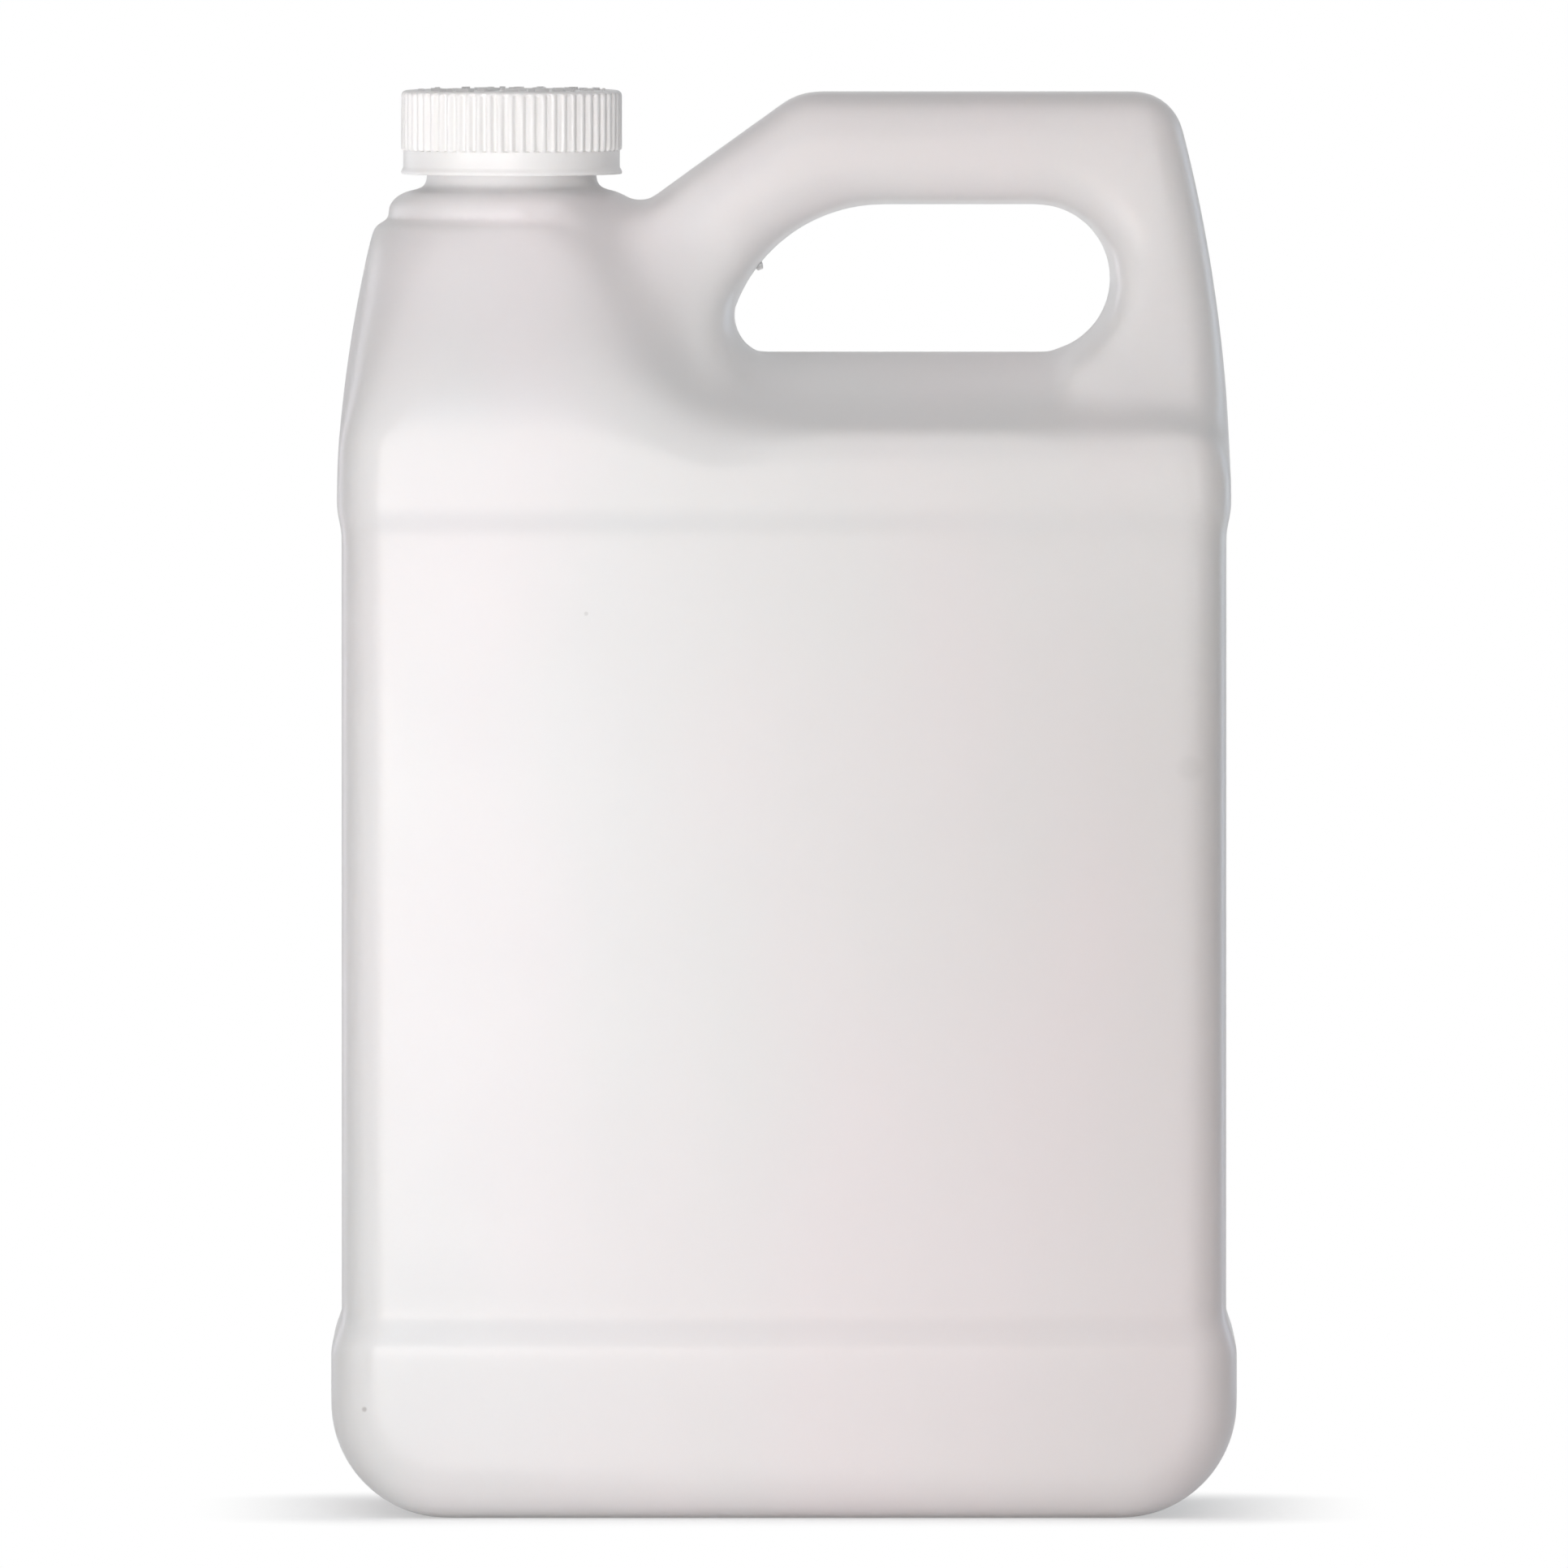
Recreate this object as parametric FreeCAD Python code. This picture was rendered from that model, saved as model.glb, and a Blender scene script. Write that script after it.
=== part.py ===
"""One-gallon F-style jug, blow moulded, with its child-resistant screw cap.

Frame: millimetres, +Z up, +X from the neck side to the handle side, -Y is the front face.
The origin is the centre of the footprint, on the surface that the jug stands on. The mould
parts on the plane y = 0, so the back is the front's mirror image.
"""
import FreeCAD
import Part

import math
import os

Vector = FreeCAD.Vector

# ---- body ------------------------------------------------------------------------------
body_width = 188.0            # base band, neck side to handle side
body_depth = 95.0             # base band, front to back
base_corner_radius = 24.0     # the two large bottom corners, seen from the front
edge_radius = 10.2            # vertical corners and the edge round the underside
base_band_height = 35.5       # up to the lower ledge
lower_ledge_height = 6.5
panel_height = 162.5          # label panel between the two ledges
upper_ledge_height = 5.0
panel_inset = 2.2             # label panel, inside the base band
upper_inset = 1.2             # upper band, inside the base band
upper_band_height = 15.5      # from the upper ledge to the crease of the roof
neck_side_radius = 226.0      # bulge of the neck-side wall above the upper ledge
handle_side_radius = 312.0    # bulge of the handle-side wall above the upper ledge

# ---- underside -------------------------------------------------------------------------
pushup_depth = 3.0            # shallow pocket that leaves a flat resting rim
pushup_length = 112.0
pushup_width = 48.0
pushup_draft = 5.0
pushup_corner = 14.0
weld_width = 2.0              # pinched weld of the parison, along the pocket
weld_height = 0.8

# ---- roof and hand hole ----------------------------------------------------------------
ridge_rise = 16.2             # floor of the hand hole, above the crease
ridge_radius = 17.0
crease_radius = 5.0           # front and back edges of the roof
roof_least = 1.0              # roof left between that rounding and the foot of the grip's flare
hole_height = 30.6
hole_draft = 5.0              # degrees, wider towards the front and the back
hole_setback = 41.5           # centre of the hole's round end, from the handle-side wall
hole_level_length = 31.9      # level top of the hole, from its round end to its long curve
hole_slope_radius = 32.7      # long curve of the hole under the sloping bar
hole_corner_radius = 6.5      # lower corner on the neck side
hole_corner_sweep = 76.0      # how far both lower corners turn before they enter the roof
hole_neck_apron = 15.0        # how far the roof widens under the hole, down to the crease
hole_end_apron = 8.0

# ---- grip ------------------------------------------------------------------------------
grip_thickness = 23.4         # top bar, above the hole
grip_depth = 35.0
grip_inner_round = 8.5        # towards the hand hole
grip_flare_radius = 64.0      # long curve in which the grip widens downwards
grip_flare_sweep = 40.0       # degrees of that curve
grip_foot_radius = 14.0       # short curve from there into the roof
slope_angle = 35.7            # sloping bar, degrees
slope_foot_reach = 28.3       # from the neck's axis to where the sloping bar leaves the shoulder
slope_foot_drop = 22.7        # that point, below the top of the grip
slope_corner_radius = 13.0    # between the sloping bar and the top bar
slope_root = 24.0             # length of the sloping bar inside the shoulder
top_corner_radius = 10.4      # between the top bar and the handle-side wall

# ---- neck ------------------------------------------------------------------------------
neck_setback = 37.3           # axis of the neck, from the neck-side wall
neck_radius = 17.65
neck_height = 19.2            # from the bead to the rim
shoulder_height = 43.1        # from the crease to the groove under the bead
shoulder_straight = 8.0       # full depth above the crease before the shoulder slopes
shoulder_ring_radius = 26.9
shoulder_reach = 30.0         # from the neck's axis to the shoulder's handle-side wall
shoulder_flare_radius = 30.0  # how that wall widens into the roof
shoulder_flare_sweep = 80.0
shoulder_corner_radius = 17.0
shoulder_wall_ease = 1.3      # above the flare, the wall leaves slowly and leans in more near the ring
shoulder_corner_ease = 1.5    # the corners grow slowly at first, up to the ring's full circle
ring_flat = 0.4               # straight left between the corners of the ring under the bead
groove_radius = 24.8
groove_height = 1.5
bead_radius = 26.0
bead_height = 5.6
bead_edge = 0.7

# ---- cap -------------------------------------------------------------------------------
cap_height = 17.8
cap_top_wall = 1.6
cap_top_chamfer = 0.9
cap_skirt_wall = 3.9          # at the crests of the ribs
cap_rib_count = 62
cap_rib_depth = 0.55
cap_crest_share = 0.34        # part of the pitch that a rib's crest takes
cap_root_share = 0.30         # part of the pitch that the flat between two ribs takes
cap_band_height = 5.0         # smooth band below the ribs
cap_band_step = 0.45          # band, inside the ribs
cap_flange_height = 0.7
cap_thread_gap = 1.45         # between the neck and the skirt, where the threads run

# ---- heights and half sizes worked out from the values above ----------------------------
half_width = body_width / 2
half_depth = body_depth / 2
panel_bottom = base_band_height + lower_ledge_height
panel_top = panel_bottom + panel_height
upper_bottom = panel_top + upper_ledge_height
crease_z = upper_bottom + upper_band_height
ridge_z = crease_z + ridge_rise
hole_top_z = ridge_z + hole_height
grip_top_z = hole_top_z + grip_thickness
shoulder_top_z = crease_z + shoulder_height
bead_bottom_z = shoulder_top_z + groove_height
bead_top_z = bead_bottom_z + bead_height
rim_z = bead_top_z + neck_height
upper_half_width = half_width - upper_inset
upper_half_depth = half_depth - upper_inset
grip_half_depth = grip_depth / 2
upper_corner_radius = edge_radius - upper_inset / 2
cap_bore = neck_radius + cap_thread_gap
cap_radius = cap_bore + cap_skirt_wall
neck_x = neck_setback - half_width
shoulder_wall_x = neck_x + shoulder_reach
shoulder_foot_x = shoulder_wall_x + shoulder_flare_radius * (
    1 - math.cos(math.radians(shoulder_flare_sweep)))
slope_foot_x = neck_x + slope_foot_reach
hole_end_x = half_width - hole_setback
hole_slope_x = hole_end_x - hole_level_length


def at(x, z):
    """Point on the parting plane."""
    return Vector(x, 0, z)


def polar(centre, radius, degrees):
    """Point at an angle round a centre on the parting plane, 0 along +X and 90 along +Z."""
    a = math.radians(degrees)
    return centre + Vector(radius * math.cos(a), 0, radius * math.sin(a))


def heading(a, b):
    """Direction from a to b on the parting plane, in degrees."""
    return math.degrees(math.atan2(b.z - a.z, b.x - a.x))


def closed_wire(start, steps):
    """Wire from start through steps, each (end,) for a line or (middle, end) for an arc."""
    edges = []
    here = start
    for step in steps:
        if len(step) == 1:
            edges.append(Part.makeLine(here, step[0]))
        else:
            edges.append(Part.Arc(here, step[0], step[1]).toShape())
        here = step[-1]
    if here.distanceToPoint(start) > 1e-6:
        edges.append(Part.makeLine(here, start))
    return Part.Wire(edges)


def prism(wire, direction):
    """Solid of a flat wire, run equally to both sides of its plane."""
    solid = Part.Face(wire).extrude(direction)
    solid.translate(direction * -0.5)
    return solid


def middle_of(edge):
    return edge.valueAt((edge.FirstParameter + edge.LastParameter) / 2)


def lean(z, radius):
    """How far a side wall on its arc above the upper ledge has come in at height z."""
    rise = z - upper_bottom
    return radius - math.sqrt(radius ** 2 - rise ** 2)


def neck_side(z):
    return -upper_half_width + lean(z, neck_side_radius)


def handle_side(z):
    return upper_half_width - lean(z, handle_side_radius)


def rounded_section(z, x0, x1, depth, r0, r1):
    """Level section from x0 to x1 with half depth `depth` and corner radii r0 and r1."""
    k = math.sqrt(0.5)
    corners = [(x1 - r1, depth - r1, r1, 1, 1), (x0 + r0, depth - r0, r0, -1, 1),
               (x0 + r0, r0 - depth, r0, -1, -1), (x1 - r1, r1 - depth, r1, 1, -1)]
    arcs = []
    for cx, cy, r, sx, sy in corners:
        across = Vector(cx + sx * r, cy, z)
        along = Vector(cx, cy + sy * r, z)
        middle = Vector(cx + sx * r * k, cy + sy * r * k, z)
        arcs.append((across, middle, along) if sx == sy else (along, middle, across))
    edges = []
    for i, (start, middle, end) in enumerate(arcs):
        edges.append(Part.Arc(start, middle, end).toShape())
        edges.append(Part.makeLine(end, arcs[(i + 1) % 4][0]))
    return Part.Wire(edges)


def even_section(z, inset):
    """Section of the body, inset from the base band all round."""
    r = edge_radius - inset / 2
    w = half_width - inset
    return rounded_section(z, -w, w, half_depth - inset, r, r)


def base_band():
    """Front outline with its two large bottom corners, rounded front and back."""
    r = base_corner_radius
    blank_top = base_band_height + 2 * edge_radius
    left = at(-half_width + r, r)
    right = at(half_width - r, r)
    wire = closed_wire(at(-half_width, blank_top), [
        (polar(left, r, 180),), (polar(left, r, 225), polar(left, r, 270)),
        (polar(right, r, 270),), (polar(right, r, 315), polar(right, r, 0)),
        (at(half_width, blank_top),)])
    blank = prism(wire, Vector(0, body_depth, 0))
    rim = [e for e in blank.Edges if e.BoundBox.YLength < 0.01 and e.BoundBox.ZMin < blank_top - 0.01]
    blank = blank.makeFillet(edge_radius, rim)
    keep = Part.makeBox(body_width, body_depth, base_band_height, Vector(-half_width, -half_depth, 0))
    return blank.common(keep)


def underside_pocket():
    """Shallow drafted push-up with the parison's pinched weld left standing in it."""
    w = pushup_length / 2
    d = pushup_width / 2
    below = pushup_depth
    slope = pushup_draft / pushup_depth
    mouth = rounded_section(-below, -w - slope * below, w + slope * below, d + slope * below,
                            pushup_corner, pushup_corner)
    floor = rounded_section(pushup_depth, pushup_draft - w, w - pushup_draft, d - pushup_draft,
                            pushup_corner - pushup_draft, pushup_corner - pushup_draft)
    pocket = Part.makeLoft([mouth, floor], True, True)
    weld = Part.makeBox(pushup_length, weld_width, weld_height + 1,
                        Vector(-w, -weld_width / 2, pushup_depth - weld_height))
    return pocket.cut(weld)


def band_stack():
    """Lower ledge, label panel and upper ledge as drafted rounded blocks."""
    levels = [(base_band_height, 0), (panel_bottom, panel_inset), (panel_top, panel_inset),
              (upper_bottom, upper_inset)]
    blocks = []
    for (z0, inset0), (z1, inset1) in zip(levels, levels[1:]):
        blocks.append(Part.makeLoft([even_section(z0, inset0), even_section(z1, inset1)], True, True))
    return blocks


def upper_band():
    """Neck side of the full-depth band above the upper ledge, up to the shoulder's foot."""
    levels = [upper_bottom, upper_bottom + upper_band_height / 2, crease_z]
    sections = [rounded_section(z, neck_side(z), shoulder_foot_x, upper_half_depth,
                                upper_corner_radius, shoulder_corner_radius) for z in levels]
    return Part.makeLoft(sections, True)


def roof_slope():
    """Angle of the roof, from the crease up to its tangent on the ridge, in degrees."""
    drop = ridge_radius - ridge_rise
    reach = math.hypot(upper_half_depth, drop)
    return math.degrees(math.asin(ridge_radius / reach) - math.atan2(drop, upper_half_depth))


def crease_reach():
    """From the crease to where its rounding ends on the side wall and on the roof."""
    return crease_radius * math.tan((math.pi / 2 - math.radians(roof_slope())) / 2)


def side_profile(with_grip):
    """Section across the jug: body and roof up to the ridge or, with the grip, its flare."""
    d = upper_half_depth
    slope = math.radians(roof_slope())
    if with_grip:
        turn = math.radians(grip_flare_sweep)
        last = math.pi / 2 - slope
        short = grip_foot_radius
        room = d - (crease_reach() + roof_least) * math.cos(slope) - grip_half_depth
        widest = (room - short * (math.cos(turn) - math.cos(last))) / (1 - math.cos(turn))
        long = min(grip_flare_radius, widest)
        hub_y = grip_half_depth + long - (long - short) * math.cos(turn)
        foot_y = hub_y - short * math.cos(last)
        foot_z = crease_z + (d - foot_y) * math.tan(slope)
        hub_z = foot_z + short * math.sin(last)
        flare_z = hub_z + (long - short) * math.sin(turn)

        def on_foot(angle):
            return hub_y - short * math.cos(angle), hub_z - short * math.sin(angle)

        def on_flare(angle):
            return grip_half_depth + long * (1 - math.cos(angle)), flare_z - long * math.sin(angle)

        curve = [on_foot((turn + last) / 2), on_foot(turn), on_flare(turn / 2), on_flare(0)]
        back = [Vector(0, y, z) for y, z in curve]
        front = [Vector(0, -y, z) for y, z in curve]
        top = grip_top_z + grip_thickness
        crown = [(back[0], back[1]), (back[2], back[3]),
                 (Vector(0, grip_half_depth, top),), (Vector(0, -grip_half_depth, top),),
                 (front[3],), (front[2], front[1]), (front[0], Vector(0, -foot_y, foot_z))]
    else:
        foot_y = ridge_radius * math.sin(slope)
        foot_z = ridge_z - ridge_radius * (1 - math.cos(slope))
        crown = [(Vector(0, 0, ridge_z), Vector(0, -foot_y, foot_z))]
    return closed_wire(Vector(0, -d, upper_bottom), [
        (Vector(0, d, upper_bottom),), (Vector(0, d, crease_z),),
        (Vector(0, foot_y, foot_z),), *crown, (Vector(0, -d, crease_z),)])


def crease_trim(side):
    """Cutter that rounds the roof's front or back crease, all along the jug."""
    last = math.pi / 2 - math.radians(roof_slope())
    hub = Vector(0, upper_half_depth - crease_radius, crease_z - crease_reach())
    far = 2 * crease_radius

    def outward(angle, radius):
        return hub + Vector(0, radius * math.cos(angle), radius * math.sin(angle))

    low = outward(0, crease_radius)
    corner = outward(last / 2, far / math.cos(last / 2))
    wire = closed_wire(low, [
        (outward(0, far),), (corner,), (outward(last, far),), (outward(last, crease_radius),),
        (outward(last / 2, crease_radius), low)])
    trim = prism(wire, Vector(2 * body_width, 0, 0))
    if side < 0:
        trim.rotate(Vector(), Vector(0, 0, 1), 180)
    return trim


def grip_outline():
    """Front outline: sloping bar, top bar, corner, and the handle-side wall down to the ledge."""
    foot = at(slope_foot_x, grip_top_z - slope_foot_drop)
    up = Vector(math.cos(math.radians(slope_angle)), 0, math.sin(math.radians(slope_angle)))
    root = foot - up * slope_root
    bend_x = slope_foot_x + slope_foot_drop / math.tan(math.radians(slope_angle))
    tangent = slope_corner_radius * math.tan(math.radians(slope_angle / 2))
    bend = at(bend_x + tangent, grip_top_z - slope_corner_radius)
    wall = at(upper_half_width - handle_side_radius, upper_bottom)
    corner_z = grip_top_z - top_corner_radius
    reach = handle_side_radius - top_corner_radius
    corner = at(wall.x + math.sqrt(reach ** 2 - (corner_z - wall.z) ** 2), corner_z)
    turn = heading(wall, corner)
    return closed_wire(root, [
        (polar(bend, slope_corner_radius, 90 + slope_angle),),
        (polar(bend, slope_corner_radius, 90 + slope_angle / 2), polar(bend, slope_corner_radius, 90)),
        (polar(corner, top_corner_radius, 90),),
        (polar(corner, top_corner_radius, (90 + turn) / 2), polar(corner, top_corner_radius, turn)),
        (polar(wall, handle_side_radius, turn / 2), polar(wall, handle_side_radius, 0)),
        (at(root.x, upper_bottom),)])


def hole_outline(outset):
    """Outline of the hand hole: level top, one round end, one long sloping curve."""
    end_radius = hole_height / 2
    end = at(hole_end_x, ridge_z + end_radius)
    slope = at(hole_slope_x, hole_top_z - hole_slope_radius)
    corner_z = ridge_z + hole_corner_radius
    reach = hole_slope_radius - hole_corner_radius
    corner = at(slope.x - math.sqrt(reach ** 2 - (corner_z - slope.z) ** 2), corner_z)
    joint = heading(slope, corner)
    end_r, slope_r, corner_r = (r + outset for r in (end_radius, hole_slope_radius, hole_corner_radius))
    right_foot = polar(end, end_r, -hole_corner_sweep)
    left_foot = polar(corner, corner_r, 180 + hole_corner_sweep)
    return closed_wire(polar(slope, slope_r, 90), [
        (polar(end, end_r, 90),),
        (polar(end, end_r, (90 - hole_corner_sweep) / 2), right_foot),
        (at(right_foot.x + hole_end_apron, crease_z - outset),),
        (at(left_foot.x - hole_neck_apron, crease_z - outset),), (left_foot,),
        (polar(corner, corner_r, (180 + hole_corner_sweep + joint) / 2), polar(corner, corner_r, joint)),
        (polar(slope, slope_r, (90 + joint) / 2), polar(slope, slope_r, 90))])


def hand_hole():
    """Cutter for the hand hole, narrowest on the parting plane and drafted to both faces."""
    halves = []
    for side in (-1, 1):
        mouth = hole_outline(half_depth * math.tan(math.radians(hole_draft)))
        mouth.translate(Vector(0, side * half_depth, 0))
        halves.append(Part.makeLoft([hole_outline(0), mouth], True, True))
    return halves[0].fuse(halves[1])


def grip_and_roof():
    """Handle side of the jug above the upper ledge: roof, leg, top bar and sloping bar."""
    outline = grip_outline()
    run = Vector(2 * body_width, 0, 0)
    gable = prism(side_profile(False), run)
    solid = prism(outline, Vector(0, 2 * body_depth, 0)).common(prism(side_profile(True), run))
    hole = hand_hole()
    solid = solid.cut(hole.cut(gable)).Solids[0]
    root_x = outline.BoundBox.XMin
    outer = []
    inner = []
    for edge in solid.Edges:
        mid = middle_of(edge)
        if abs(mid.y) < 1 or mid.x < root_x + 1 or edge.BoundBox.ZMax < upper_bottom + 1:
            continue
        on_plane = Part.Vertex(at(mid.x, mid.z))
        if outline.distToShape(on_plane)[0] < 0.02:
            outer.append(edge)
        elif hole.distToShape(Part.Vertex(mid))[0] < 0.02 and edge.BoundBox.ZMax > ridge_z + 3:
            inner.append(middle_of(edge))
    solid = solid.makeFillet(upper_corner_radius, outer)
    inner_edges = [e for e in solid.Edges
                   if any(middle_of(e).distanceToPoint(m) < 0.05 for m in inner)]
    solid = solid.makeFillet(grip_inner_round, inner_edges)
    return solid.cut([crease_trim(-1), crease_trim(1)]).Solids[0]


def shoulder():
    """Neck side above the crease: full plan at its foot, a ring under the bead at its top."""
    flare_z = crease_z + shoulder_flare_radius * math.sin(math.radians(shoulder_flare_sweep))
    ring_x = neck_x + shoulder_ring_radius
    steps = 4
    walls = []
    for i in range(steps):
        a = math.radians(shoulder_flare_sweep * (1 - i / steps))
        walls.append((flare_z - shoulder_flare_radius * math.sin(a),
                      shoulder_wall_x + shoulder_flare_radius * (1 - math.cos(a))))
    for i in range(steps + 1):
        share = i / steps
        wall_x = shoulder_wall_x + (ring_x - shoulder_wall_x) * share ** shoulder_wall_ease
        walls.append((flare_z + (shoulder_top_z - flare_z) * share, wall_x))
    sections = []
    for z, wall_x in walls:
        share = max(0, z - crease_z) / shoulder_height
        slope = max(0, z - crease_z - shoulder_straight) / (shoulder_height - shoulder_straight)
        depth = upper_half_depth + (shoulder_ring_radius - upper_half_depth) * slope
        full = shoulder_ring_radius - ring_flat
        grown = share ** shoulder_corner_ease
        r0 = upper_corner_radius + (full - upper_corner_radius) * grown
        r1 = shoulder_corner_radius + (full - shoulder_corner_radius) * grown
        sections.append(rounded_section(z, neck_side(z), wall_x, depth, r0, r1))
    return Part.makeLoft(sections, True)


def neck():
    """Bead and neck finish, turned about the neck's axis and set into the shoulder."""
    root_z = shoulder_top_z - 8
    crown_z = bead_bottom_z + bead_edge
    steps = 5
    dome = []
    for i in range(steps + 1):
        a = math.pi / 2 * i / steps
        dome.append(at(neck_x + neck_radius + (bead_radius - neck_radius) * math.cos(a),
                       crown_z + (bead_top_z - crown_z) * math.sin(a)))
    curve = Part.BSplineCurve()
    curve.interpolate(dome)
    points = [at(neck_x + neck_radius, rim_z), at(neck_x, rim_z), at(neck_x, root_z),
              at(neck_x + groove_radius, root_z), at(neck_x + groove_radius, bead_bottom_z),
              at(neck_x + bead_radius - bead_edge, bead_bottom_z), dome[0]]
    edges = [Part.makeLine(dome[-1], points[0])]
    for a, b in zip(points, points[1:]):
        edges.append(Part.makeLine(a, b))
    edges.append(curve.toShape())
    return Part.Face(Part.Wire(edges)).revolve(at(neck_x, 0), Vector(0, 0, 1), 360)


def jug():
    body = base_band().multiFuse([*band_stack(), upper_band(), grip_and_roof(), shoulder(), neck()])
    return body.cut(underside_pocket()).removeSplitter().Solids[0]


def rib_star(z0, z1):
    """Toothed prism whose crests lie on cap_radius."""
    pitch = 2 * math.pi / cap_rib_count
    root = cap_radius - cap_rib_depth
    crest_half = pitch * cap_crest_share / 2
    root_half = pitch * cap_root_share / 2
    points = []
    for i in range(cap_rib_count):
        a = i * pitch
        for r, turn in ((cap_radius, -crest_half), (cap_radius, crest_half),
                        (root, pitch / 2 - root_half), (root, pitch / 2 + root_half)):
            points.append(Vector(neck_x + r * math.cos(a + turn), r * math.sin(a + turn), z0))
    return Part.Face(Part.makePolygon(points + points[:1])).extrude(Vector(0, 0, z1 - z0))


def cap():
    """Ribbed skirt over a smooth band and flange, open below, its top resting on the rim."""
    top = rim_z + cap_top_wall
    bottom = top - cap_height
    band_top = bottom + cap_band_height
    band = cap_radius - cap_band_step
    edge = neck_x + cap_radius
    envelope = Part.Face(closed_wire(at(neck_x, band_top), [
        (at(edge, band_top),), (at(edge, top - cap_top_chamfer),),
        (at(edge - cap_top_chamfer, top),), (at(neck_x, top),)]))
    envelope = envelope.revolve(at(neck_x, 0), Vector(0, 0, 1), 360)
    ribs = rib_star(band_top, top).common(envelope)
    axis = at(neck_x, bottom)
    up = Vector(0, 0, 1)
    body = Part.makeCylinder(band, cap_band_height + cap_rib_depth, axis, up)
    body = body.fuse(Part.makeCylinder(cap_radius, cap_flange_height, axis, up))
    body = body.fuse(ribs)
    body = body.cut(Part.makeCylinder(cap_bore, cap_height - cap_top_wall, axis, up))
    return body.removeSplitter().Solids[0]


os.makedirs("parts", exist_ok=True)
jug().exportStep("parts/jug.step")
cap().exportStep("parts/cap.step")
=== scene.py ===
"""Looks of a one-gallon F-style jug of milky polyethylene with its ribbed screw cap.

Metres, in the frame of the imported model: +Z up, -Y the front face, the neck towards -X.
"""

import math

import bmesh
import bpy
import numpy as np
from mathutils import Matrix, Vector


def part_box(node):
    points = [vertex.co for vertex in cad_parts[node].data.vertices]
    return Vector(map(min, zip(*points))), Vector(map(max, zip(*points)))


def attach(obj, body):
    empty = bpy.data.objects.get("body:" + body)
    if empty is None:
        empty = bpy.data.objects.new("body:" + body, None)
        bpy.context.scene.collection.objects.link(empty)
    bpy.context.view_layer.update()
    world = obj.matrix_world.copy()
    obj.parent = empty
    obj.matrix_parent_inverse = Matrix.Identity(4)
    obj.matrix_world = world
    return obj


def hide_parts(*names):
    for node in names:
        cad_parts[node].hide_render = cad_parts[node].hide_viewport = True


MM = 0.001

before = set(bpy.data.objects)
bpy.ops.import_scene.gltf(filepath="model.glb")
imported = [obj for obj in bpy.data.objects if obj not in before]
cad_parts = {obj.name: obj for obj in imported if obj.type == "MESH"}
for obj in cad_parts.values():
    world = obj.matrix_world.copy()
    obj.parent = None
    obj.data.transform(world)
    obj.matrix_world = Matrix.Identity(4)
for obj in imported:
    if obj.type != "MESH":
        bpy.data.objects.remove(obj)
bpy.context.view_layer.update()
cap_low, cap_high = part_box("cap")
cap_centre = (cap_low + cap_high) / 2

# ---- sizes of the looks, in metres -------------------------------------------------------
SKIN_VOXEL = 0.8 * MM         # grain of the jug's skin before it is thinned out
SKIN_TRIANGLES = 180000
RELAX_SHARE = 0.6             # how far a point goes towards its neighbours in a round
CREASE_Z = 225 * MM           # where the upper band turns into the roof
NECK_X = -56.7 * MM
GROOVE_Z = 269 * MM           # under the bead
BEAD_TOP_Z = 275.2 * MM
SADDLE_X = -30 * MM           # between the bead and the sloping bar
SADDLE_TOP = 272.9 * MM
SADDLE_RADIUS = 5 * MM
HOLE_NECK_FOOT = (-4 * MM, 240 * MM)      # x and z of the places that blowing rounds most
ROOF_NECK_END = (-19 * MM, 226 * MM)
HOLE_ROUND_FOOT = (58 * MM, 240 * MM)
ROOF_HANDLE_END = (64 * MM, 227 * MM)
VALLEY_TOP = (-31 * MM, 267 * MM)
VALLEY_FOOT = (-12 * MM, 234 * MM)
FLASH_PLACE = (-5.1 * MM, 0, 259.2 * MM)  # crumb of flash left in the hand hole
FLASH_SIZE = (0.8 * MM, 0.6 * MM, 1.1 * MM)
SPECKS_AND_DENT_SHADE = (                             # x, z, radius and strength of grey spots on the front: the first is painted shade of a shallow dent, the others are dark specks in the plastic
    (84.2 * MM, 155.9 * MM, 3.6 * MM, 0.16),
    (-87.0 * MM, 23.0 * MM, 0.7 * MM, 1.0),
    (-41.0 * MM, 188.0 * MM, 0.6 * MM, 0.5))

RIB_COUNT = 62
CAP_RADIUS = (cap_high.x - cap_low.x) / 2
CAP_HEIGHT = cap_high.z - cap_low.z
CAP_BORE = 19.1 * MM
CAP_BAND = 0.45 * MM          # smooth band, inside the crests of the ribs
CAP_FLANGE = 0.7 * MM
CAP_RIBS_BOTTOM = 5.0 * MM
CAP_TOP_WALL = 1.6 * MM
CAP_EDGE_ROUND = 1.2 * MM
CAP_INNER_ROUND = 1.0 * MM
CAP_MOUTH_CHAMFER = 0.3 * MM
CAP_CHAMFER = 0.15 * MM       # breaks the sharp edges of the flange and the ribs
CAP_FLANGE_SLOPE = 0.9 * MM   # height over which the flange runs out into the band
RELIEF_HEIGHT = 0.4 * MM      # raised marks on the cap's top


# ---- helpers -------------------------------------------------------------------------------
def add_object(name, mesh):
    thing = bpy.data.objects.new(name, mesh)
    bpy.context.scene.collection.objects.link(thing)
    return thing


def settle(thing):
    """Turns what the modifiers make of a piece into its plain mesh."""
    made = thing.evaluated_get(bpy.context.evaluated_depsgraph_get())
    mesh = bpy.data.meshes.new_from_object(made)
    thing.modifiers.clear()
    thing.data = mesh
    return thing


def smooth_step(low, high, value):
    share = np.clip((value - low) / (high - low), 0, 1)
    return share * share * (3 - 2 * share)


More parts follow.
